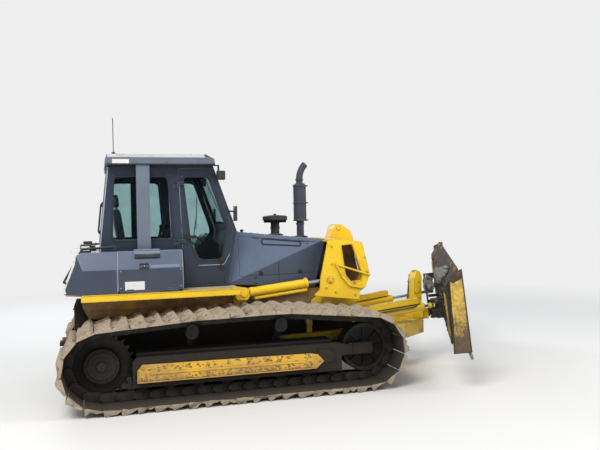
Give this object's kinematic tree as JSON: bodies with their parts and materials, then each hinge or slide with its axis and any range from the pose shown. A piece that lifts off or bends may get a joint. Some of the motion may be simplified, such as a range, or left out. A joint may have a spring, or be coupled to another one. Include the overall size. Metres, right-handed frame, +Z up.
{
  "type": "crawler bulldozer",
  "caption": "Crawler dozer with wide swamp tracks, enclosed cab, sloping hood and a power-angle-tilt blade on an inside push frame; doors, lids, lift, angle and tilt move.",
  "frame": {"origin": "on the ground, on the centre line, half-way between the sprocket and idler centres", "axes": "+X forward towards the blade, +Y to the operator's left, +Z up"},
  "size_m": [6.5393, 3.6478, 3.47],
  "materials": {
    "track_steel": "bare steel caked with dry beige mud",
    "cast_dark": "dark greasy cast steel",
    "yellow_paint": "warm yellow gloss enamel",
    "yellow_muddy": "yellow enamel under dried mud",
    "dark_paint": "dark painted steel under mud",
    "slate_paint": "slate blue-grey enamel",
    "post_paint": "grey-blue enamel",
    "cab_paint": "dark slate enamel",
    "roof_paint": "light grey enamel, dusty",
    "cab_glass": "tinted laminated glass",
    "black_plastic": "black moulded plastic",
    "seat_fabric": "grey woven seat cloth",
    "exhaust_steel": "heat-dulled black paint",
    "lamp_plastic": "lamp housing with pale lens",
    "rail_paint": "black painted tube",
    "rod_chrome": "hard chrome",
    "clay_paint": "yellow paint under grey clay",
    "edge_steel": "bare worn steel"
  },
  "bodies": {
    "chassis": {"antenna": "rail_paint", "cab_glass": "cab_glass", "cab_roof": "roof_paint", "cab_shell": "cab_paint", "engine": "cast_dark", "equalizer_bar": "dark_paint", "exhaust_stack": "exhaust_steel", "fenders": "yellow_paint", "final_drives": "yellow_paint", "frame_pivots": "yellow_muddy", "frame_skirts": "yellow_muddy", "front_grille": "yellow_paint", "fuel_tank": "slate_paint", "grab_rails": "rail_paint", "guard_sides": "yellow_paint", "hood": "slate_paint", "idlers": "cast_dark", "main_frame": "yellow_paint", "mirrors": "black_plastic", "operator_controls": "black_plastic", "precleaner": "black_plastic", "radiator_guard": "yellow_paint", "roller_guards": "yellow_muddy", "rops_posts": "post_paint", "seat_base": "black_plastic", "seat_cushion": "seat_fabric", "side_boxes": "slate_paint", "sprockets": "cast_dark", "track_frames": "dark_paint", "track_left": "track_steel", "track_right": "track_steel", "track_rollers": "cast_dark", "work_lamps": "lamp_plastic"},
    "cab_door_right": {"cab_door_right": "cab_paint", "door_glass_right": "cab_glass"},
    "engine_door_right": {"engine_door_right": "slate_paint"},
    "side_cover_right": {"side_cover_right": "slate_paint"},
    "cab_door_left": {"cab_door_left": "cab_paint", "door_glass_left": "cab_glass"},
    "engine_door_left": {"engine_door_left": "slate_paint"},
    "side_cover_left": {"side_cover_left": "slate_paint"},
    "c_frame": {"c_frame": "yellow_paint"},
    "lift_levers": {"lift_levers": "yellow_paint"},
    "lift_link_right": {"lift_link_right": "yellow_paint"},
    "lift_barrel_right": {"lift_barrel_right": "yellow_paint"},
    "lift_rod_right": {"lift_rod_right": "rod_chrome"},
    "lift_link_left": {"lift_link_left": "yellow_paint"},
    "lift_barrel_left": {"lift_barrel_left": "yellow_paint"},
    "lift_rod_left": {"lift_rod_left": "rod_chrome"},
    "blade_carrier": {"blade_carrier": "yellow_muddy"},
    "blade": {"blade": "yellow_muddy", "cutting_edge": "edge_steel"},
    "tilt_barrel": {"tilt_barrel": "clay_paint"},
    "tilt_rod": {"tilt_rod": "rod_chrome"},
    "angle_trunnion_right": {"angle_trunnion_right": "cast_dark"},
    "angle_barrel_right": {"angle_barrel_right": "yellow_paint"},
    "angle_rod_right": {"angle_rod_right": "rod_chrome"},
    "angle_trunnion_left": {"angle_trunnion_left": "cast_dark"},
    "angle_barrel_left": {"angle_barrel_left": "yellow_paint"},
    "angle_rod_left": {"angle_rod_left": "rod_chrome"}
  },
  "joints": [
    {"name": "cab_door_right_hinge", "type": "hinge", "parent": "chassis", "child": "cab_door_right", "pos_m": [-0.672, -0.736, 1.5], "axis": [0, 0, -1], "range_deg": [0, 85]},
    {"name": "engine_door_right_hinge", "type": "hinge", "parent": "chassis", "child": "engine_door_right", "pos_m": [0.13044, -0.49264, 1.9692], "axis": [-0.9952, -0.0262, 0.0941], "range_deg": [0, 70]},
    {"name": "side_cover_right_hinge", "type": "hinge", "parent": "chassis", "child": "side_cover_right", "pos_m": [-1.046, -1.088, 1.356], "axis": [1, 0, 0], "range_deg": [0, 80]},
    {"name": "cab_door_left_hinge", "type": "hinge", "parent": "chassis", "child": "cab_door_left", "pos_m": [-0.672, 0.736, 1.5], "axis": [0, 0, 1], "range_deg": [0, 85]},
    {"name": "engine_door_left_hinge", "type": "hinge", "parent": "chassis", "child": "engine_door_left", "pos_m": [0.13044, 0.49264, 1.9692], "axis": [0.9952, -0.0262, -0.0941], "range_deg": [0, 70]},
    {"name": "side_cover_left_hinge", "type": "hinge", "parent": "chassis", "child": "side_cover_left", "pos_m": [-1.046, 1.088, 1.356], "axis": [-1, 0, 0], "range_deg": [0, 80]},
    {"name": "lift", "type": "hinge", "parent": "chassis", "child": "c_frame", "pos_m": [0.7, 0, 0.52], "axis": [0, -1, 0], "range_deg": [-21, 10.5]},
    {"name": "lift_lever_turn", "type": "hinge", "parent": "chassis", "child": "lift_levers", "pos_m": [1.335, 0, 1.057], "axis": [0, 1, 0], "range_deg": [-33.5, 17]},
    {"name": "lift_link_right_turn", "type": "hinge", "parent": "lift_levers", "child": "lift_link_right", "pos_m": [1.069, -0.52, 1.101], "axis": [0, -1, 0], "range_deg": [-26, 13.5]},
    {"name": "lift_barrel_right_turn", "type": "hinge", "parent": "chassis", "child": "lift_barrel_right", "pos_m": [0.16, -0.655, 1.2235], "axis": [0, -1, 0], "range_deg": [-1, 1]},
    {"name": "lift_rod_right_slide", "type": "slide", "parent": "lift_barrel_right", "child": "lift_rod_right", "axis": [0.9941, 0, 0.1085], "range_m": [-0.175, 0.09]},
    {"name": "lift_link_left_turn", "type": "hinge", "parent": "lift_levers", "child": "lift_link_left", "pos_m": [1.069, 0.52, 1.101], "axis": [0, -1, 0], "range_deg": [-26, 13.5]},
    {"name": "lift_barrel_left_turn", "type": "hinge", "parent": "chassis", "child": "lift_barrel_left", "pos_m": [0.16, 0.655, 1.2235], "axis": [0, -1, 0], "range_deg": [-1, 1]},
    {"name": "lift_rod_left_slide", "type": "slide", "parent": "lift_barrel_left", "child": "lift_rod_left", "axis": [0.9941, 0, 0.1085], "range_m": [-0.175, 0.09]},
    {"name": "blade_angle", "type": "hinge", "parent": "c_frame", "child": "blade_carrier", "pos_m": [3.12, 0, 0.74], "axis": [-0.1219, 0, 0.9925], "range_deg": [0, 50]},
    {"name": "blade_tilt", "type": "hinge", "parent": "blade_carrier", "child": "blade", "pos_m": [3.12, 0, 0.74], "axis": [0.8996, -0.4226, 0.1105], "range_deg": [-6.5, 6.5]},
    {"name": "tilt_barrel_turn", "type": "hinge", "parent": "blade_carrier", "child": "tilt_barrel", "pos_m": [3.03026, -0.28969, 1.13199], "axis": [0.8996, -0.4226, 0.1105], "range_deg": [-5, 5]},
    {"name": "tilt_rod_slide", "type": "slide", "parent": "tilt_barrel", "child": "tilt_rod", "axis": [0.4152, 0.9058, 0.0845], "range_m": [-0.05, 0.05]},
    {"name": "angle_trunnion_right_turn", "type": "hinge", "parent": "c_frame", "child": "angle_trunnion_right", "pos_m": [1.93, -0.505, 0.79], "axis": [-0.1219, 0, 0.9925], "range_deg": [-1, 10]},
    {"name": "angle_barrel_right_turn", "type": "hinge", "parent": "angle_trunnion_right", "child": "angle_barrel_right", "pos_m": [1.93, -0.505, 0.79], "axis": [-0.104, -0.9945, -0.0128], "range_deg": [-4, 4]},
    {"name": "angle_rod_right_slide", "type": "slide", "parent": "angle_barrel_right", "child": "angle_rod_right", "axis": [0.9871, -0.1048, 0.1212], "range_m": [-0.01, 0.54]},
    {"name": "angle_trunnion_left_turn", "type": "hinge", "parent": "c_frame", "child": "angle_trunnion_left", "pos_m": [1.93, 0.505, 0.79], "axis": [-0.1219, 0, 0.9925], "range_deg": [-1, 10]},
    {"name": "angle_barrel_left_turn", "type": "hinge", "parent": "angle_trunnion_left", "child": "angle_barrel_left", "pos_m": [1.93, 0.505, 0.79], "axis": [0.004, -1, 0.0005], "range_deg": [-4, 4]},
    {"name": "angle_rod_left_slide", "type": "slide", "parent": "angle_barrel_left", "child": "angle_rod_left", "axis": [0.9925, 0.004, 0.1219], "range_m": [-0.54, 0.01]}
  ],
  "couplings": [
    {"joint": "lift_lever_turn", "follows": "lift", "ratio": 1.55},
    {"joint": "lift_link_right_turn", "follows": "lift", "ratio": 1.13},
    {"joint": "lift_barrel_right_turn", "follows": "lift", "ratio": 0.018},
    {"joint": "lift_rod_right_slide", "follows": "lift", "m_per_rad": 0.448},
    {"joint": "lift_link_left_turn", "follows": "lift", "ratio": 1.13},
    {"joint": "lift_barrel_left_turn", "follows": "lift", "ratio": 0.018},
    {"joint": "lift_rod_left_slide", "follows": "lift", "m_per_rad": 0.448},
    {"joint": "tilt_barrel_turn", "follows": "blade_tilt", "ratio": 0.70403},
    {"joint": "tilt_rod_slide", "follows": "blade_tilt", "m_per_rad": -0.40911},
    {"joint": "angle_trunnion_right_turn", "follows": "blade_angle", "ratio": 0.0808},
    {"joint": "angle_barrel_right_turn", "follows": "blade_tilt", "ratio": -0.486},
    {"joint": "angle_rod_right_slide", "follows": "blade_angle", "m_per_rad": 0.6094},
    {"joint": "angle_trunnion_left_turn", "follows": "blade_angle", "ratio": 0.1539},
    {"joint": "angle_barrel_left_turn", "follows": "blade_tilt", "ratio": 0.486},
    {"joint": "angle_rod_left_slide", "follows": "blade_angle", "m_per_rad": -0.5811}
  ]
}
